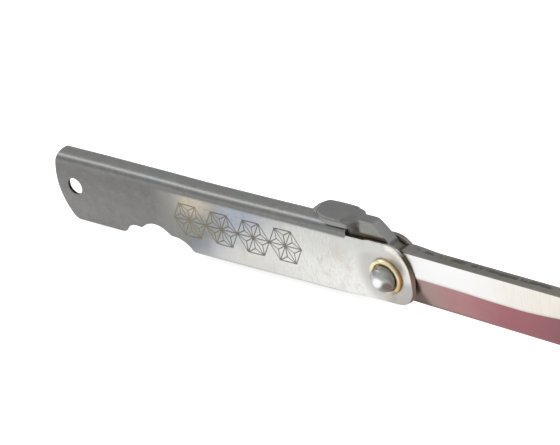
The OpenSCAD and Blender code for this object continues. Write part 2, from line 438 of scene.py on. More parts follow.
cut = groove(flat_x, flat_q)
wave = hand_wave(flat_x, flat_q)
outside = fold(flat_x, flat_q, wave + cut * cut_depth)
inside = fold(flat_x, flat_q, wave + sheet_t)
points = [outside, inside]
faces = [quads_2d, quads_2d[:, ::-1] + len(outside)]
cuts = [cut, 0 * cut]
depths = [0 * cut, 0 * cut + 1]
count = 2 * len(outside)
angles = np.linspace(0, math.pi / 2, rim_steps + 1)[1:]
profile = np.array(
    [(edge_round * math.sin(a), edge_round * (1 - math.cos(a))) for a in angles]
    + [(edge_round * math.sin(a), sheet_t - edge_round * (1 - math.cos(a))) for a in angles[::-1]]
)
for loop in loops:
    run = np.stack([flat_x[loop], flat_q[loop]], axis=-1)
    along = np.roll(run, -1, axis=0) - np.roll(run, 1, axis=0)
    outward = np.stack([along[:, 1], -along[:, 0]], axis=-1) / np.hypot(*along.T)[:, None]
    place = run[None] + profile[:, 0, None, None] * outward[None]
    rim = fold(place[..., 0], place[..., 1], profile[:, 1, None] + wave[loop][None])
    rim_number = numbered(rim, count)
    faces.append(grid_quads(closed(np.vstack([loop, rim_number, loop + len(outside)])).T))
    points.append(rim.reshape(-1, 3))
    cuts.append(np.zeros(rim_number.size))
    depths.append(np.repeat(profile[:, 1] / sheet_t, len(loop)))
    count += rim_number.size
handle = make_piece(
    "folded_handle",
    np.concatenate(points),
    np.concatenate(faces),
    {"groove": np.concatenate(cuts), "depth": np.concatenate(depths)},
    sharp_deg=40.0,
)
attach(handle, "handle_body")
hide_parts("handle")

# %% [markdown]
# ## The blade and its lever
# Blade, root, arm and thumb pad are forged in one piece. Joined boxes would show seams where
# the steel flows, so one skin covers them all. It is a cross-section carried along x. At each
# station the section has a top, a bottom, a half width, a crown and a place where the bevel
# starts, and each of these is a smooth function of x. The grinding line, where the bevel
# starts, is a little higher near the heel and climbs again towards the point.

# %% Stations along the blade
spine_fall, edge_fall = math.tan(math.radians(1.4)), math.tan(math.radians(2.0))
heel_z, blade_w, bevel_w, edge_half = 0.5, 12.55, 6.7, 0.07
root_rise, root_end, root_run, upturn_x, upturn = 0.44, 104.0, 7.5, 124.0, 0.0215
heel_lift, heel_from, heel_to = 0.19, 118.0, 109.0
dip_x, dip_w, dip = 94.0, 1.25, 0.72
point_l, point_blend = 23.0, 0.15
tang_r, foot_z = 6.1, 14.28
pad_tip_x = blade_low[0] - corner_mm[0]
pad_z, pad_side, pad_crown, pad_half = handle_h + 0.1, 1.25, 0.85, blade_high[1]
tip_side, least_crown, pad_round = 0.55, 0.1, 4.0
arm_x, arm_top_z, arm_end_x, foot_x = slot_x + 1.5, handle_h + 1.8, slot_x + 6.9, slot_x + 10.6
plunge_x = handle_l - 3.35

station_stops = [
    pad_tip_x + pad_round, slot_x - 1.0, arm_x + 2.6, foot_x - 0.1, foot_x + 1.2, plunge_x - 0.2,
    plunge_x + 0.6, tip_x - point_l - 0.6, tip_x - point_l + 0.6, tip_x - hair,
]
station_steps = [0.25, 0.06, 0.12, 0.06, 0.3, 0.1, 0.8, 0.1, 0.5]
quarter = np.linspace(0.0, math.pi / 2, 26)[:-1]
stations = np.concatenate([
    pad_tip_x + 0.4 + 3.6 * (1 - np.cos(quarter)),
    runs(station_stops, station_steps),
])


def spine_line(x):
    """Height of the blade's spine, which falls a little, and steeply near the point."""
    rise = root_rise * ease((root_end - x) / root_run)
    straight = heel_z + blade_w - (x - handle_l) * spine_fall + rise
    start = tip_x - point_l
    start_z = heel_z + blade_w - (start - handle_l) * spine_fall
    drop = (start_z - edge_line(tip_x)) / point_l
    steep = start_z - (x - start) * drop
    return (straight + steep - np.sqrt((straight - steep) ** 2 + point_blend)) / 2


def edge_line(x):
    """Height of the cutting edge."""
    return heel_z - (x - handle_l) * edge_fall


print("stations:", len(stations), "from", round(stations[0], 2), "to", round(stations[-1], 2))

# %% Widths at the stations
x = stations
from_tip = x - pad_tip_x


def pad_edge(places, shares):
    """Half width of the pad: straight lines between shares of its greatest, then smoothed."""
    even = np.linspace(-1, 20, 211)
    rough = np.interp(even, places, shares)
    window = np.hanning(13) / np.hanning(13).sum()
    return pad_half * np.interp(from_tip, even, np.convolve(np.pad(rough, 6, mode="edge"), window, "valid"))


pad_near = pad_edge(
    [0, 0.8, 1.4, 2.4, 3.4, 4.2, 5.5, 6.5, 7.7, 9.8, 11.7, 14.6],
    [-0.12, 0.02, 0.14, 0.35, 0.56, 0.71, 0.84, 0.89, 0.925, 0.91, 0.9, 0.8],
)
pad_far = pad_edge(
    [0, 0.3, 0.8, 1.4, 2.2, 3.4, 5.1, 7.8, 10.0, 11.5, 13.1, 14.6],
    [0.5, 0.72, 0.84, 0.88, 0.91, 0.95, 1.0, 1.0, 0.97, 0.88, 0.69, 0.55],
)
arm_from, arm_run = 2.1, 1.2
arm = ease((x - slot_x - arm_from) / arm_run)
half = (pad_near + pad_far) / 2 * (1 - arm) + blade_half * arm
middle_y = (pad_far - pad_near) / 2 * (1 - arm)
print("pad", round(pad_near.max() + pad_far.max(), 2), "mm wide, blade", round(2 * blade_half, 2))

# %% Top line and crown at the stations
tip_run, fall_from, fall_run, arm_blend, step_run = 3.2, 1.1, 6.0, 0.45, 0.45
pad_top = pad_z + tip_side + (pad_side + pad_crown - tip_side) * ease(from_tip / tip_run)
crown_fall = 1 - ease((x - slot_x + fall_from) / fall_run)
arm_top = arm_top_z + (pad_top - arm_top_z) * crown_fall
slope = foot_z + (foot_x - x) * (arm_top_z - foot_z) / (foot_x - arm_end_x)
top = -soft_max(-arm_top, -slope, arm_blend)
sunk_top = spine_line(x) - dip * np.exp(-(((x - dip_x) / dip_w) ** 2))
step_down = ease((x - foot_x - 0.05) / step_run)
top = np.where(x < foot_x, top, sunk_top + (foot_z - sunk_top) * (1 - step_down))
crown = (pad_crown - least_crown) * crown_fall * ease(from_tip / 2.0) + least_crown
corner_at = [pad_tip_x, pad_tip_x + 3, slot_x, arm_x + 2, foot_x, foot_x + 2]
top_corner = np.interp(x, corner_at, [0.2, 0.35, 0.35, 0.35, 0.3, 0.22])
top_corner = np.minimum(top_corner, 0.8 * half)
print("top from", round(top.min(), 2), "to", round(top.max(), 2), "mm")

# %% Bottom line and bevel at the stations
disc_gap = np.clip(tang_r**2 - (x - pivot_mm[0]) ** 2, 0.0, None)
bottom = np.interp(x, [slot_x + 0.1, slot_x + 0.3, pivot_mm[0] - tang_r], [pad_z, 13.0, pivot_mm[2]])
bottom = np.where(x > pivot_mm[0] - tang_r, pivot_mm[2] - np.sqrt(disc_gap), bottom)
past_disc = bottom - far_away * (x > pivot_mm[0] + 2)
bottom = np.where(x > pivot_mm[0], np.maximum(edge_line(x), past_disc), bottom)
plunge_run, shoulder = 0.5, 0.35
ground = ease((x - plunge_x) / plunge_run)
bevel_h = bevel_w + upturn * np.clip(x - upturn_x, 0.0, None) ** 1.5
bevel_h = bevel_h + heel_lift * ease((heel_from - x) / (heel_from - heel_to))
room = np.clip((top - bottom) / 3.0, 0.0, 1.0)
top_corner, crown = top_corner * room, crown * room
bevel_z = np.minimum(edge_line(x) + bevel_h, top - shoulder * room)
thin = np.clip((top - bottom) / bevel_h, 0.0, 1.0)
half = half * (1 - ground + ground * (edge_half + (1 - edge_half) * thin))
on_arm = np.clip((x - slot_x - 3.0) / 2.0, 0.0, 1.0)
bevel_z = pad_z + hair + (bevel_z - pad_z - hair) * on_arm
foot_half = edge_half * ground + (1 - ground)
print("grinding line at the heel", round(float(np.interp(handle_l, x, bevel_z)), 2), "mm")

# %% Carry the section along the blade
top_n, corner_n, side_n, bevel_n = 8, 4, 9, 12


def half_section():
    """One side of every section, from the middle of the top down to the middle of the bottom.

    Also how far each of its points lies in the channel, from 0 at the rim to 1.
    """
    flat = (half - top_corner)[:, None]
    across = np.linspace(0, 1, top_n)[None] * flat
    roof = top[:, None] - crown[:, None] * (across / half[:, None]) ** 2
    angle = np.linspace(0, math.pi / 2, corner_n + 1)[None, 1:]
    corner_y = flat + top_corner[:, None] * np.sin(angle)
    corner_z = roof[:, -1:] - top_corner[:, None] * (1 - np.cos(angle))
    down = np.linspace(0, 1, side_n + 1)[None, 1:]
    side_y = np.repeat(half[:, None], side_n, axis=1)
    start_z = corner_z[:, -1:]
    side_z = start_z + (np.minimum(bevel_z[:, None], start_z - 0.05 * room[:, None]) - start_z) * down
    inner = np.minimum(half, blade_half)[:, None]
    bevel_end = np.minimum(inner, blade_half * foot_half[:, None])
    under = half[:, None] - inner
    face = np.hypot(inner - bevel_end, side_z[:, -1:] - bottom[:, None])
    way = np.linspace(0, 1, bevel_n + 1)[None, 1:] * (under + face)
    fall = np.clip((way - under) / face, 0.0, 1.0)
    bevel_y = half[:, None] - np.minimum(way, under) + (bevel_end - inner) * fall
    bevel_zs = side_z[:, -1:] + (bottom[:, None] - side_z[:, -1:]) * fall
    floor_y = bevel_end * np.array([[0.5, 0.0]])
    floor_z = np.repeat(bottom[:, None], 2, axis=1)
    y = np.hstack([across, corner_y, side_y, bevel_y, floor_y])
    z = np.hstack([roof, corner_z, side_z, bevel_zs, floor_z])
    sunk = np.clip(way / np.maximum(under, 0.001), 0.0, 1.0)
    return y, z, np.hstack([0 * across, 0 * corner_y, 0 * side_y, sunk, 0 * floor_y + 1])


side_ys, side_zs, sunk = half_section()
slot_run = 0.3
shift = middle_y[:, None] * (1 - sunk * ease((x - slot_x + slot_run) / slot_run)[:, None])
side_shift = np.hstack([shift, shift[:, -2:0:-1]])
ring_y = side_shift + np.hstack([-side_ys, side_ys[:, -2:0:-1]])
ring_z = np.hstack([side_zs, side_zs[:, -2:0:-1]])
skin = np.stack([np.repeat(x[:, None], ring_y.shape[1], axis=1), ring_y, ring_z], axis=-1)
rub, flank = np.zeros(side_ys.shape[1]), np.zeros(side_ys.shape[1])
rub[top_n - 1:top_n + corner_n] = np.sin(np.linspace(0.3, math.pi - 0.3, corner_n + 1))
flank[top_n + corner_n - 1:top_n + corner_n + side_n] = 1.0
blade = make_piece(
    "forged_blade",
    *capped_tube(skin, skin[0].mean(axis=0), skin[-1].mean(axis=0)),
    {
        name: np.concatenate([np.tile(np.concatenate([side, side[-2:0:-1]]), len(x)), [0.0, 0.0]])
        for name, side in (("rub", rub), ("flank", flank))
    },
    sharp_deg=22.0,
)
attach(blade, "blade_body")
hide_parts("blade")

# %% [markdown]
# ## The rivet
# The smith closes the rivet with a hammer, so each head is a low cone with flat faces where
# the blows fell. A turned cone would be too even. Planes do the hammer's work here: the height
# of the head is the least of a few tilted planes, with their edges a little blended. Each
# plane has a tone of its own, which the finish paints as that plane's reflection. A pin joins
# the two heads through the knife.

# %% Hammered heads on a pin
rivet_low, rivet_high = (np.array(corner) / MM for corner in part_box("rivet"))
washer_h = -handle_t / 2 - washer_low[1]
washer_floor = 0.3
pin_r, neck_r, head_r = 2.0, 2.3, (rivet_high[0] - rivet_low[0]) / 2
seat = handle_t / 2 + washer_floor
head_h = rivet_high[1] - seat
# Each blow has a direction in degrees, a steepness and a distance from the middle; then a tone.
blows = [
    (-33, 0.84, 1.05), (20, 0.70, 1.50), (62, 0.62, 1.36), (104, 0.60, 1.20),
    (150, 0.62, 1.20), (200, 0.70, 1.35), (250, 0.80, 1.30), (292, 0.80, 1.10),
]
tones = [0.14, 0.53, 0.53, 0.50, 0.52, 0.62, 0.60, 0.30]
top_tone, skirt_tone, blend = 1.0, 0.38, 0.12
skirt_foot, skirt_round = 0.32, 0.95


def head_planes(u, w):
    """Heights over u, w of the flat top, of each blow's plane, and of the round skirt below them."""
    planes = [head_h + 0 * u]
    for turn, steep, start in blows:
        a = math.radians(turn)
        planes.append(head_h - steep * (u * math.cos(a) + w * math.sin(a) - start))
    ball = np.sqrt(np.maximum(head_r**2 - u**2 - w**2, 0.0))
    return np.stack([*planes, skirt_foot * head_h + skirt_round * ball])


def head_height(u, w):
    """Height of the head, the soft least of all planes, and the tone of the plane that is least."""
    planes = head_planes(u, w)
    least = planes.min(axis=0)
    shares = np.exp((least - planes) / blend)
    total = shares.sum(axis=0)
    tone = np.tensordot([top_tone, *tones, skirt_tone], shares, axes=1) / total
    return np.minimum(least - blend * np.log(total) + blend, head_h), tone


turns = np.linspace(0, 2 * math.pi, 128, endpoint=False)
head_rho = head_r * np.sin(np.linspace(0.03, math.pi / 2, 44))
u, w = head_rho[:, None] * np.cos(turns), head_rho[:, None] * np.sin(turns)
domed, tone = head_height(u, w)
neck_rho = np.array([[head_r - 0.1], [neck_r], [pin_r]])
half_u = np.vstack([u, neck_rho * np.cos(turns)])
half_w = np.vstack([w, neck_rho * np.sin(turns)])
half_y = seat + np.vstack([domed, 0 * (neck_rho + turns)])
half_tone = np.vstack([tone, skirt_tone + 0 * (neck_rho + turns)])
ring_u, ring_w = np.vstack([half_u, half_u[::-1]]), np.vstack([half_w, half_w[::-1]])
ring_h = np.vstack([-half_y, half_y[::-1]])
skin = np.stack([pivot_mm[0] + ring_u, ring_h, pivot_mm[2] + ring_w], axis=-1)
poles = [[pivot_mm[0], side * (seat + head_h), pivot_mm[2]] for side in (-1, 1)]
rivet = make_piece(
    "hammered_rivet",
    *capped_tube(skin, *poles),
    {"tone": np.concatenate([np.vstack([half_tone, half_tone[::-1]]).ravel(), [top_tone, top_tone]])},
    sharp_deg=30.0,
)
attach(rivet, "handle_body")
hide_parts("rivet")

# %% [markdown]
# ## The brass washers
# A cupped washer sits under each head. Its outline is a small closed curve, the thin floor and
# the rounded rim, turned once round the pivot. A ready-made ring shape has no such cup. Both
# washers sit loose on the pin: they are a little small, off centre and not quite round.

# %% Cupped washers
cup_r, hole_r = 3.05, pin_r + 0.05
rim_mid, rim_half = (cup_r + washer_r) / 2, (washer_r - cup_r) / 2
rim_foot, rim_power, floor_r, foot_r = 0.22, 0.9, 2.6, 3.6
loose_r, loose_x, loose_z = 0.13, -0.12, -0.10
bow = np.linspace(0, math.pi, 17)[:-1]
rim_y = rim_foot + (washer_h - rim_foot) * np.sin(bow) ** rim_power
outline = np.vstack([
    [[hole_r, 0.0], [floor_r, 0.0], [foot_r, 0.0], [washer_r - 0.12, 0.0], [washer_r, 0.08]],
    np.stack([rim_mid + rim_half * np.cos(bow), rim_y], axis=-1),
    [[cup_r + 0.02, washer_floor], [floor_r, washer_floor], [hole_r, washer_floor]],
])
turns = np.linspace(0, 2 * math.pi, 144, endpoint=False)
# A slow wave and a quicker one make the rim uneven, inwards only.
dent = 1 + 0.006 * np.sin(3 * turns + 0.7) + 0.004 * np.sin(7 * turns)
reach = outline[:, :1] + (dent - dent.max()) * (outline[:, :1] > cup_r) * 3.0
reach = reach - loose_r * (outline[:, :1] > hole_r)
washers = []
for side, node in ((-1, "washer_near"), (1, "washer_far")):
    skin = np.stack([
        pivot_mm[0] + loose_x + reach * np.cos(turns),
        side * (handle_t / 2 + outline[:, 1:] + 0 * turns),
        pivot_mm[2] + loose_z + reach * np.sin(turns),
    ], axis=-1)
    number = numbered(skin)
    quads = grid_quads(closed(np.vstack([number, number[:1]])))
    washer = make_piece("cupped_" + node, skin.reshape(-1, 3), quads, {}, sharp_deg=40.0)
    washers.append(washer)
    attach(washer, "handle_body")
    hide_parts(node)

# %% [markdown]
# ## Finishes
# A finish is a formula on the surface: where am I, and what colour, roughness and relief does
# the steel have there. One small class makes such a formula read like arithmetic. Colours and
# directions keep to the Mix and Vector Math nodes.


# %% Shader arithmetic
class Wire:
    """An output of a node. Sums, differences and products of wires add Math nodes."""

    def __init__(self, tree, output):
        self.tree = tree
        self.output = output

    def node(self, kind, settings, values, out=0):
        """Adds a node: settings first, then the values or links of its sockets. Gives an output."""
        made = self.tree.nodes.new("ShaderNode" + kind)
        for name, value in settings.items():
            if name == "stops":
                set_stops(made.color_ramp, value)
            else:
                setattr(made, name, value)
        for name, value in values.items():
            if isinstance(value, Wire):
                self.tree.links.new(value.output, made.inputs[name])
            else:
                made.inputs[name].default_value = value
        return Wire(self.tree, made.outputs[out]) if made.outputs else None

    def math(self, operation, *values):
        """A Math node that works on this wire and perhaps on other values."""
        return self.node("Math", {"operation": operation}, dict(enumerate((self, *values))))

    def __add__(self, other):
        return self.math("ADD", other)

    def __sub__(self, other):
        return self.math("SUBTRACT", other)

    def __rsub__(self, other):
        return (self * -1.0) + other

    def __mul__(self, other):
        return self.math("MULTIPLY", other)

    def __abs__(self):
        return self.math("ABSOLUTE")

    __radd__ = __add__
    __rmul__ = __mul__

    def step(self, low, high):
        """0 below low, 1 above high and smooth between them."""
        settings = {"interpolation_type": "SMOOTHSTEP"}
        if low < high:
            return self.node("MapRange", settings, {"Value": self, "From Min": low, "From Max": high})
        return 1.0 - self.step(high, low)

    def diagonal(self, other):
        """The way across two wires at right angles: the root of the sum of their squares."""
        return (self.math("POWER", 2.0) + other.math("POWER", 2.0)).math("SQRT")

    def mix(self, first, second):
        """The first colour where this wire is 0, the second where it is 1, each a wire or 0 to 255."""
        first, second = (c if isinstance(c, Wire) else rgb(*c) for c in (first, second))
        return self.node("Mix", {"data_type": "RGBA"}, {0: self, 6: first, 7: second}, out=2)

    def layers(self, *coats):
        """This colour with others mixed over it in turn, each given by a mask and a colour."""
        colour = self
        for mask, coat in coats:
            colour = mask.mix(colour, coat)
        return colour

    def scaled(self, factors, offset):
        """This place or direction times the factors, plus the offset."""
        return self.node("VectorMath", {"operation": "MULTIPLY_ADD"}, {0: self, 1: factors, 2: offset})


def set_stops(ramp, stops):
    """Gives a colour ramp its stops, each a place from 0 to 1 and a colour."""
    while len(ramp.elements) < len(stops):
        ramp.elements.new(0.5)
    for element, (place, colour) in zip(ramp.elements, stops):
        element.position = place
        element.color = colour


def rgb(red, green, blue):
    """A colour as a painter's program gives it, 0 to 255, made linear: ((c + 0.055) / 1.055) to the 2.4."""
    shares = (red / 255, green / 255, blue / 255)
    return tuple(c / 12.92 if c <= 0.04045 else ((c + 0.055) / 1.055) ** 2.4 for c in shares) + (1.0,)


# %% A metal and its place
class Finish:
    """A metal material, with the place of a surface point in millimetres from butt and lower edge."""

    def __init__(self, name):
        self.material = bpy.data.materials.new(name)
        self.material.use_nodes = True
        self.tree = self.material.node_tree
        self.shader = self.tree.nodes["Principled BSDF"]
        self.shader.inputs["Metallic"].default_value = 1.0
        metres = Wire(self.tree, self.tree.nodes.new("ShaderNodeTexCoord").outputs["Object"])
        self.place = metres.scaled((1 / MM,) * 3, tuple(-corner_mm))
        parts = [self.place.node("SeparateXYZ", {}, {0: self.place}, out=k) for k in range(3)]
        self.x, self.y, self.z = parts

    def mark(self, name):
        """A value that the mesh carries at each of its points."""
        return self.place.node("Attribute", {"attribute_name": name}, {}, out=2)

    def noise(self, size_mm, stretch=(1.0, 1.0, 1.0), detail=3.0, rough=0.5, shift=0.0):
        """Smooth random values round one half, of a given size, longer along a stretched axis."""
        scaled = self.place.scaled(tuple(1 / (size_mm * s) for s in stretch), (shift,) * 3)
        values = {"Vector": scaled, "Scale": 1.0, "Detail": detail, "Roughness": rough}
        return self.place.node("TexNoise", {}, values)

    def give(self, socket, wire):
        """Feeds one of the shader's sockets."""
        self.tree.links.new(wire.output, self.shader.inputs[socket])

    def relief(self, height, depth_mm):
        """Turns a height from 0 to 1 into a relief of the given depth on the shader's normal."""
        bump = self.place.node("Bump", {}, {"Strength": 1.0, "Distance": depth_mm * MM, "Height": height})
        self.give("Normal", bump)

    def tell(self, what):
        """Prints how far the material has come."""
        print(f"{self.material.name}, {what}: {len(self.tree.nodes)} nodes")

    def dress(self, *pieces):
        """Puts the finished material on its pieces."""
        for piece in pieces:
            piece.data.materials.append(self.material)
            self.tell(piece.name)


# %% [markdown]
# ### The handle's finish
# The sheet is left grey from the forge at the butt and along the spine. The front of each wall
# is ground bright, and where the two meet the heat has run the steel's colours: straw above,
# violet below. A painted picture would fit one view only. Masks worked out from the place on
# the sheet fit every side, and each one mixes one more colour over the steel so far.

# %% Handle steel: noises and masks
finish = Finish("Handle steel")
x, y, z = finish.x, finish.y, finish.z
cloud = finish.noise(9.0, detail=4.0)
mottle = finish.noise(2.2, detail=5.0, rough=0.62, shift=7.0)
speck = finish.noise(0.7, detail=4.0, rough=0.65, shift=4.0)
grain = finish.noise(0.24, (1.0, 1.0, 8.0), detail=2.0, shift=3.0)
patches = (cloud - 0.5) * 6.0
ground_top, ground_edge = 13.45, 0.35
beyond_slot = x.step(slot_x - 0.5, slot_x + 0.5)
ground_z = z - beyond_slot * 0.9 + (mottle - 0.5) * 0.3
bright = (x + patches).step(26.5, 35.0)
bright = bright * ground_z.step(ground_top + ground_edge, ground_top - ground_edge)
silver = (x - (z - 1.5) * 1.7 + patches * 0.7).step(34.0, 52.0)
finish.tell("masks")

# %% Handle steel: grey from the forge
forge_grey = (z + patches).step(13.0, 3.0).mix((124, 123, 121), (142, 141, 139))
blotch = mottle * 0.6 + speck * 0.4
teal = cloud.step(0.52, 0.66) * z.step(13.6, 14.6)
pit = finish.noise(0.55, detail=1.0, shift=21.0).step(0.70, 0.78)
forge_grey = forge_grey.layers(
    (z.step(13.3, 14.6), (134, 134, 133)),
    (blotch.step(0.52, 0.28) * 0.4, (106, 105, 103)),
    (blotch.step(0.48, 0.72) * 0.4, (158, 157, 154)),
    (teal * 0.35, (124, 138, 138)),
    (pit * 0.35, (92, 90, 88)),
)
finish.tell("forge grey")

# %% Handle steel: colours of the heat
heat = (z + patches).step(3.0, 12.0).mix((147, 147, 145), (156, 156, 152))
straw = (z + patches * 0.4).step(8.4, 10.6) * (x + patches * 0.4).step(32.5, 38.0)
straw = straw * (x + z * -0.8).step(37.0, 31.0)
iris = finish.noise(0.8, (1.7, 1.0, 1.0), detail=5.0, rough=0.66, shift=31.0)
ahead_of_grey = x.step(33.0, 38.0)
low_front = (x + patches * 0.3).step(37.5, 43.5) * z.step(5.5, 2.5)
violet = abs(x - 39.5 + patches * 0.3).step(5.0, 1.5) * z.step(5.2, 2.6)
heat = heat.layers(
    ((x + patches * 0.4).step(42.0, 50.0), (170, 177, 187)),
    (straw, mottle.mix((200, 184, 166), (194, 194, 178))),
    (iris.step(0.52, 0.66) * ahead_of_grey * 0.42, (204, 192, 164)),
    (iris.step(0.48, 0.34) * ahead_of_grey * 0.40, (132, 144, 152)),
    (low_front * 0.6, (204, 207, 216)),
    (violet * 0.8, (137, 145, 158)),
)
finish.tell("colours of the heat")

# %% Handle steel: the ground front
silver_low = x.step(50.0, 82.0).mix((230, 229, 225), (253, 253, 250))
silver_grey = (z + patches * 0.5).step(14.0, 2.0).mix((214, 214, 211), silver_low)
# Round the washer, except above it, the plate is painted darker, partly grime and partly painted shade of the
# washer; below and ahead of the washer more shade is painted.
from_pivot = (x - pivot_mm[0]).diagonal(z - pivot_mm[2])
washer_grime_and_shade = (from_pivot + patches * 0.25).step(8.5, 5.2) * z.step(12.6, 10.6) * x.step(94.0, 90.0)
shaded = (x - z * 0.5).step(88.6, 91.0) * z.step(7.5, 5.0)
# Along the upper part of the nose's rounded edge a bright band is painted: a painted highlight, partly a bright
# burr.
corner_x, corner_z = handle_l - nose_top_r, slot_z - nose_top_r
from_corner = (x - corner_x).diagonal((z - corner_z).math("MAXIMUM", 0.0))
lip = (from_corner + (speck - 0.5) * 0.8).step(4.5, 5.3)
lip = lip * x.step(corner_x, corner_x + 1.0) * z.step(8.0, 10.5)
stain = finish.noise(5.0, detail=5.0, rough=0.6, shift=11.0).step(0.50, 0.68) * speck.step(0.35, 0.6)
blot_x, blot_z = 78.5, 9.5
from_blot = (x - blot_x).diagonal(z - blot_z)
silver_grey = silver_grey.layers(
    (washer_grime_and_shade * 0.75, (196, 193, 186)),
    (shaded * 0.75, (166, 166, 164)),
    (lip * 0.9, (252, 249, 240)),
    (stain * 0.5, (206, 194, 168)),
    ((from_blot + patches * 0.3).step(3.2, 1.0) * 0.25, (198, 189, 168)),
)
plate = silver.mix(heat, silver_grey)
brushed = x.step(62.0, 67.0) * x.step(80.0, 76.0)
plate = plate.layers(
    (speck.step(0.35, 0.65) * silver * 0.16, (196, 196, 190)),
    (grain.step(0.54, 0.74) * (brushed * 0.28 + 0.08), (168, 168, 166)),
    (grain.step(0.46, 0.30) * (brushed * 0.24 + 0.08), (250, 250, 246)),
)
steel = bright.mix(forge_grey, plate)
finish.tell("ground front")

# %% [markdown]
# ### Furrows, cut faces and painted shade
# The chisel's furrows hold dirt. The mesh carries how deep each point lies in a furrow, and how
# deep in the sheet, 0 outside and 1 inside. So the cut faces and the inner wall get their
# colours, painted light and shade among them, without another material. A painted shadow lies
# under the thumb pad, and painted shade along the lower edge.

# %% Handle steel: furrows, cut faces and painted shade
furrow = finish.mark("groove")
pigment = x.step(36.0, 56.0).mix((134, 127, 106), (96, 92, 86))
depth = finish.mark("depth")
# The cut faces are painted: a darker grey, lighter on the near wall beyond the slot as a painted highlight, and
# brown at the nose as a painted reflection, darker towards the top.
nose_face = z.step(5.0, 10.5).mix((132, 109, 97), (92, 80, 70))
cut_face = (beyond_slot * y.step(0.3, -0.3)).mix((116, 113, 109), (158, 155, 148))
cut_face = (x.step(92.0, 94.0) * y.step(0.3, -0.3) * z.step(12.9, 11.9)).mix(cut_face, nose_face)
# Painted shadow: a dark stripe on the near bend under the thumb pad's edge.
pad_shadow_z = 15.45
pad_shadow = abs(z - pad_shadow_z).step(0.42, 0.18) * x.step(75.6, 76.8)
pad_shadow = pad_shadow * x.step(slot_x + 0.3, slot_x - 0.5) * y.step(0.0, -0.3)
# Painted shade: a darker line along the rounded lower edge of the bright front.
shaded_lower_edge = z.step(0.42, 0.16) * (x.step(60.0, 88.0) * 0.6 + 0.2)
steel = steel.layers(
    (furrow.step(0.10, 0.7) * 0.85, pigment),
    (depth.step(0.14, 0.3), cut_face),
    # Beyond the slot the inner face is painted light, painted light in the shaded gap at the nose.
    (depth.step(0.9, 1.0), beyond_slot.mix((152, 141, 127), (206, 196, 182))),
    (pad_shadow * 0.9, (74, 72, 68)),
    (shaded_lower_edge * silver, (146, 143, 138)),
)
finish.give("Base Color", steel)
finish.give("Roughness", bright * -0.06 + 0.36 + (mottle - 0.5) * 0.14)
finish.relief(grain * 0.35 + mottle * 0.3 + speck * 0.35, 0.02)
finish.dress(handle)

# %% [markdown]
# ### The blade's finish
# The flats are ground across, from spine to edge, to a bright white steel. The bevel below the
# grinding line is painted a warm, dull pink, a painted reflection, and a thin pink line of it is
# painted just above the grinding line. It is greyer near the heel, and darkest in the painted
# shade of the handle's nose. The spine and the lever keep their forge grey, and the hard core
# shows as a broken dark line on the spine. On the lever, shade is painted at the neck, under the
# arm and on the pad's top, and the pad's sides are painted lighter, a painted sheen. It is all
# one piece of steel, so one material covers it, and masks that follow the lines of the mesh part
# the regions.

# %% Blade steel: noises and masks
finish = Finish("Blade steel")
x, y, z = finish.x, finish.y, finish.z
mottle = finish.noise(1.6, detail=4.0, rough=0.6)
drift = finish.noise(7.0, detail=3.0, shift=5.0) - 0.5
grind = finish.noise(0.22, (1.0, 1.0, 40.0), detail=2.0, shift=2.0)
line_z = (x - handle_l) * -edge_fall + (heel_z + bevel_w)
line_z = line_z + (x - upturn_x).math("MAXIMUM", 0.0).math("POWER", 1.5) * upturn
line_z = line_z + x.step(heel_from, heel_to) * heel_lift
on_bevel = (z - line_z).step(0.10, -0.10) * x.step(plunge_x - 0.3, plunge_x + 0.3)
rim_z = (x - handle_l) * -spine_fall + (heel_z + blade_w)
on_spine = (z - rim_z).step(-0.36, -0.24)
ahead = x.step(foot_x + 1.6, foot_x + 3.4)
finish.tell("masks")

# %% Blade steel: flats and bevel
further = (x + drift * 12.0).step(108.0, 134.0)
flat_steel = further.mix((254, 254, 254), (246, 241, 230))
cool = (x + drift * 8.0).step(131.0, 138.0) * (z - line_z).step(4.5, 1.5)
flat_steel = flat_steel.layers(
    (cool * 0.7, (224, 225, 228)),
    (grind.step(0.5, 0.72) * (further * 0.35 + 0.04), (206, 202, 194)),
    # Just above the grinding line a thin pink line is painted, a painted reflection.
    ((z - line_z).step(0.55, 0.15) * 0.4, (222, 186, 180)),
)
# The bevel's warm colour is a painted reflection, greyer near the heel; nose_shade paints the shade of the
# handle's nose on it.
warm = mottle.mix((184, 137, 137), (190, 145, 144))
edge_z = (x - handle_l) * -edge_fall + heel_z
nose_shade = (x + z * 0.35).step(handle_l + 3.6, handle_l + 1.4)
warm = warm.layers(
    ((x + drift * 8.0).step(108.0, 121.0), (172, 112, 120)),
    (x.step(122.0, 138.0), (152, 104, 109)),
    ((x + drift * 4.0).step(107.0, 100.5), (182, 154, 148)),
    (x.step(handle_l + 2.4, handle_l + 0.4), (192, 170, 162)),
    ((z - edge_z).step(1.0, 0.3) * 0.6, (138, 124, 124)),
    (nose_shade * 0.9, (112, 92, 85)),
)
finish.tell("flats and bevel")

# %% Blade steel: spine and its core line
dashes = finish.noise(3.4, (1.0, 2.0, 2.0), detail=2.0, shift=9.0).step(0.40, 0.49)
seam = (abs(y + drift * 0.7 - 0.25) + (mottle - 0.5) * 0.5).step(0.62, 0.24) * dashes
spine_steel = mottle.mix((108, 107, 101), (130, 128, 121))
spine_steel = spine_steel.layers(
    (x.step(107.0, 99.0), mottle.mix((116, 113, 111), (140, 136, 134))),
    (x.step(104.0, 140.0), mottle.mix((122, 118, 112), (140, 135, 128))),
    (seam * x.step(97.5, 99.5) * 0.75, (72, 69, 64)),
)
finish.tell("spine")

# %% Blade steel: lever and pad
forged = mottle.mix((118, 119, 118), (138, 138, 137))
# The arm's flat sides are lighter than its top.
lighter_arm_sides = abs(y).step(blade_half - 0.12, blade_half - 0.02) * x.step(slot_x + 3.2, slot_x + 4.0)
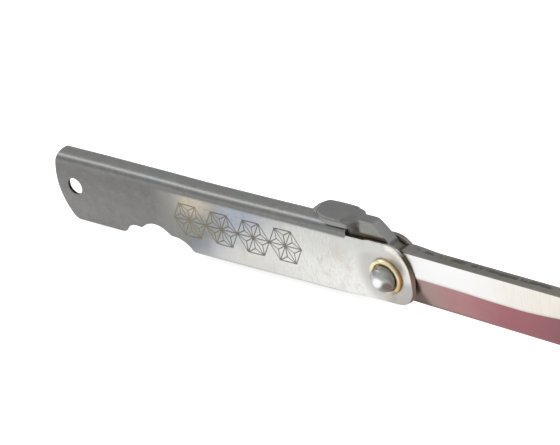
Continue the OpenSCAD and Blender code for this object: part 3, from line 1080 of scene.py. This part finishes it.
# On the pad's sides the lower band is painted lighter, a painted sheen, and near the tip almost white, a painted
# highlight.
flank_sheen_steel = mottle.mix((118, 118, 117), (138, 138, 137))
flank_sheen_steel = z.step(17.5, 17.1).mix(flank_sheen_steel, mottle.mix((144, 144, 142), (168, 168, 165)))
flank_sheen_steel = x.step(pad_tip_x + 3.0, pad_tip_x + 1.2).mix(flank_sheen_steel, (240, 239, 235))
pad_flank = finish.mark("flank").step(0.3, 0.8) * x.step(slot_x + 2.4, slot_x + 0.6)
# Painted shade on the near side of the pad's top, towards the neck.
pad_shade = (x - slot_x - 1.8).diagonal(y + 2.2).step(2.4, 0.8)
edge_wear = finish.mark("rub") * mottle.step(0.25, 0.6)
edge_wear = edge_wear * (x.step(slot_x - 0.6, slot_x - 2.2) + x.step(slot_x + 3.0, slot_x + 3.8))
# Painted shade at the neck, under the end of the pad, darker low down.
neck = x.step(slot_x + 3.6, slot_x + 3.1) * x.step(slot_x + 0.9, slot_x + 2.2)
neck = neck * y.step(-1.0, -1.4) * z.step(17.6, 17.3)
# Painted shade low on the arm's near side, where it goes into the slot.
under = z.step(15.4, 14.9) * x.step(slot_x + 0.6, slot_x + 1.6) * x.step(foot_x + 0.2, foot_x - 0.4)
forged = forged.layers(
    (lighter_arm_sides, mottle.mix((134, 134, 130), (176, 175, 167))),
    (pad_flank, flank_sheen_steel),
    (pad_shade * z.step(17.0, 17.3) * 0.28, (92, 91, 88)),
    (edge_wear * 0.55, (176, 176, 172)),
    (neck * 0.9, z.step(15.4, 17.0).mix((70, 66, 61), (98, 97, 94))),
    (under * y.step(-1.2, -1.4), (94, 86, 78)),
    (x.step(foot_x + 0.2, foot_x + 0.7) * 0.85, (112, 111, 107)),
)
steel = on_bevel.mix(flat_steel, warm)
steel = on_spine.mix(steel, spine_steel)
steel = ahead.mix(forged, steel)
finish.give("Base Color", steel)
finish.give("Roughness", 0.46 - ahead * 0.14 + (mottle - 0.5) * 0.12)
finish.relief(grind * 0.5 + mottle * 0.5, 0.01)
finish.dress(blade)

# %% [markdown]
# ### Rivet and brass
# Each flat of a hammered head mirrors its own piece of the room. A plain studio has little to
# mirror, so the tone of each plane, which the mesh carries, is turned into a grey instead: a
# painted reflection, with the flat top painted white as a painted highlight. The brass is pale
# on the crest of its rim, partly wear and partly a painted highlight that grows towards the top,
# and duller beside it. Inside the rim it is painted lighter at the upper left, a painted light.
# Low down it is painted silvery, a painted reflection, and darker to the right, a painted shade.
# Towards the nose its outer side is tarnished.

# %% Rivet steel
finish = Finish("Rivet steel")
mottle = finish.noise(0.8, detail=4.0, rough=0.6)
tone = finish.mark("tone") + (mottle - 0.5) * 0.18
# Each plane's tone becomes a grey, a painted reflection; the flat top is painted white, a painted highlight.
grey = tone.step(0.12, 0.36).mix((124, 106, 98), (150, 150, 147))
grey = grey.layers(
    (tone.step(0.36, 0.64), (206, 208, 205)),
    (tone.step(0.7, 0.95), (254, 254, 254)),
)
finish.give("Base Color", grey)
finish.give("Roughness", mottle * 0.16 + 0.24)
finish.relief(mottle, 0.02)
finish.dress(rivet)

# %% Washer brass
finish = Finish("Washer brass")
x, z = finish.x - pivot_mm[0], finish.z - pivot_mm[2]
mottle = finish.noise(0.7, detail=4.0, rough=0.6)
# The rim's crest is paler, partly wear and partly a painted highlight; it is paler still towards the top, painted
# light.
crest_wear_and_sheen = (abs(finish.y) - handle_t / 2).step(0.40, 0.74)
crest = z.step(-1.5, 2.2).mix((228, 200, 152), (255, 248, 214))
# Inside the rim the brass is painted lighter at the upper left, painted light.
trough = (z - x * 0.5).step(1.8, 3.2).mix((170, 138, 84), (212, 186, 134))
brass = (crest_wear_and_sheen * 0.75 + mottle * 0.35).mix(trough, crest)
# Low down the brass is painted silvery, a painted reflection, and darker to the right, a painted shade.
painted_low_reflection = (x * 0.47 + z + (mottle - 0.5) * 0.6).step(-1.2, -1.8)
low_reflection_and_shade = x.step(0.2, 2.0).mix(mottle.mix((206, 196, 184), (226, 220, 210)), (166, 153, 142))
from_pin = x.diagonal(z)
tarnish = from_pin.step(3.6, 3.95) * (x - z * 0.5).step(1.6, 3.4) * z.step(-3.2, -2.0)
brass = brass.layers(
    (painted_low_reflection * 0.85, low_reflection_and_shade),
    (tarnish * 0.55, (160, 118, 84)),
)
finish.give("Base Color", brass)
finish.give("Roughness", 0.36 - crest_wear_and_sheen * 0.12)
finish.relief(mottle, 0.015)
finish.dress(*washers)

# %% [markdown]
# ## Stage, light and camera
# The knife stands edge down on a white table. The sky above it is a soft studio: dark near the
# horizon, bright overhead. That dark band is what draws the spine and the bends, and the table
# below is what makes the walls look bright. The table and the sky look white to the camera,
# whatever light they give, so no extra lamp has to bleach them. A long lens looks down from
# the right.

# %% Table
def empty_tree(owner):
    """The node tree of a material or a world, with nothing in it."""
    owner.use_nodes = True
    owner.node_tree.nodes.clear()
    return owner.node_tree


def ray_kinds(tree):
    """Two wires: 1 for rays that the camera sees straight or through glass, and 1 for mirrored ones."""
    rays = tree.nodes.new("ShaderNodeLightPath")
    seen = Wire(tree, rays.outputs["Is Camera Ray"]) + Wire(tree, rays.outputs["Is Transmission Ray"])
    return seen, Wire(tree, rays.outputs["Is Glossy Ray"])


table_r, table_grey, seen_glow, mirrored_glow = 0.45, 0.82, 0.80, 0.36
table_mesh = bpy.data.meshes.new("table")
around = np.linspace(0, 2 * math.pi, 128, endpoint=False)
table_rim = np.stack([table_r * np.cos(around), table_r * np.sin(around), 0 * around], axis=-1)
table_mesh.from_pydata(table_rim.tolist(), [], [list(range(len(around)))])
table = put("table", table_mesh)
paint = bpy.data.materials.new("Table white")
tree = empty_tree(paint)
seen, mirrored = ray_kinds(tree)
matte = seen.node("BsdfDiffuse", {}, {"Color": (table_grey, table_grey, table_grey, 1.0)})
strength = seen * seen_glow + mirrored * mirrored_glow
glow = seen.node("Emission", {}, {"Color": (1.0, 1.0, 1.0, 1.0), "Strength": strength})
both = seen.node("AddShader", {}, {0: matte, 1: glow})
seen.node("OutputMaterial", {}, {"Surface": both})
table_mesh.materials.append(paint)
print("table", 2 * table_r, "m across")

# %% Sky
world = bpy.data.worlds.new("Studio")
bpy.context.scene.world = world
tree = empty_tree(world)
coords = tree.nodes.new("ShaderNodeTexCoord")
direction = Wire(tree, coords.outputs["Generated"])
rise = direction.node("SeparateXYZ", {}, {0: direction}, out=2)
sky_levels = [(0.0, 0.36), (0.35, 0.53), (0.7, 0.72), (1.0, 0.85)]
stops = [(place, (level, level, level, 1.0)) for place, level in sky_levels]
shade = rise.node("ValToRGB", {"stops": stops}, {0: rise})
seen, mirrored = ray_kinds(tree)
sky = (seen + mirrored * 0.3).mix(shade, (255, 255, 255))
light = sky.node("Background", {}, {"Color": sky, "Strength": 1.0})
light.node("OutputWorld", {}, {"Surface": light})
print("sky:", len(tree.nodes), "nodes")


# %% Lamps
def soft_lamp(name, toward, distance, size, radiance):
    """A square area lamp in a direction from the knife, turned to face it."""
    lamp = bpy.data.lights.new(name, "AREA")
    lamp.size = size
    lamp.energy = radiance * math.pi * size**2
    way = Vector(toward).normalized()
    turned = way.to_track_quat("Z", "Y").to_matrix().to_4x4()
    put(name, lamp).matrix_world = Matrix.Translation(way * distance) @ turned
    print(f"{name}: {size} m wide, {distance} m away")


soft_lamp("overhead", (-0.631, -0.442, 0.637), 0.9, 0.26, 3.6)
soft_lamp("fill", (0.5, 0.6, 0.9), 1.3, 0.5, 1.5)

# %% Camera
view_azimuth, view_rise, view_roll = 45.807, 28.396, -11.510
aim_mm = np.array([55.870, 5.356, 7.122])
camera_distance, lens_mm, film_mm = 1035.624, 322.215, 36.0
turn, lift, roll = (math.radians(angle) for angle in (view_azimuth, view_rise, view_roll))
back = Vector((math.sin(turn) * math.cos(lift), -math.cos(turn) * math.cos(lift), math.sin(lift)))
level = Vector((math.cos(turn), math.sin(turn), 0.0))
right = level * math.cos(roll) + back.cross(level) * math.sin(roll)
lens = bpy.data.cameras.new("long_lens")
lens.sensor_fit, lens.sensor_width, lens.lens = "HORIZONTAL", film_mm, lens_mm
camera = put("long_lens", lens)
frame_matrix = Matrix((right, back.cross(right), back)).transposed().to_4x4()
camera_place = Vector((aim_mm + corner_mm) * MM) + back * camera_distance * MM
camera.matrix_world = Matrix.Translation(camera_place) @ frame_matrix
bpy.context.scene.camera = camera
bpy.context.scene.view_settings.view_transform = "Standard"
print("camera at", [round(v, 4) for v in camera_place])
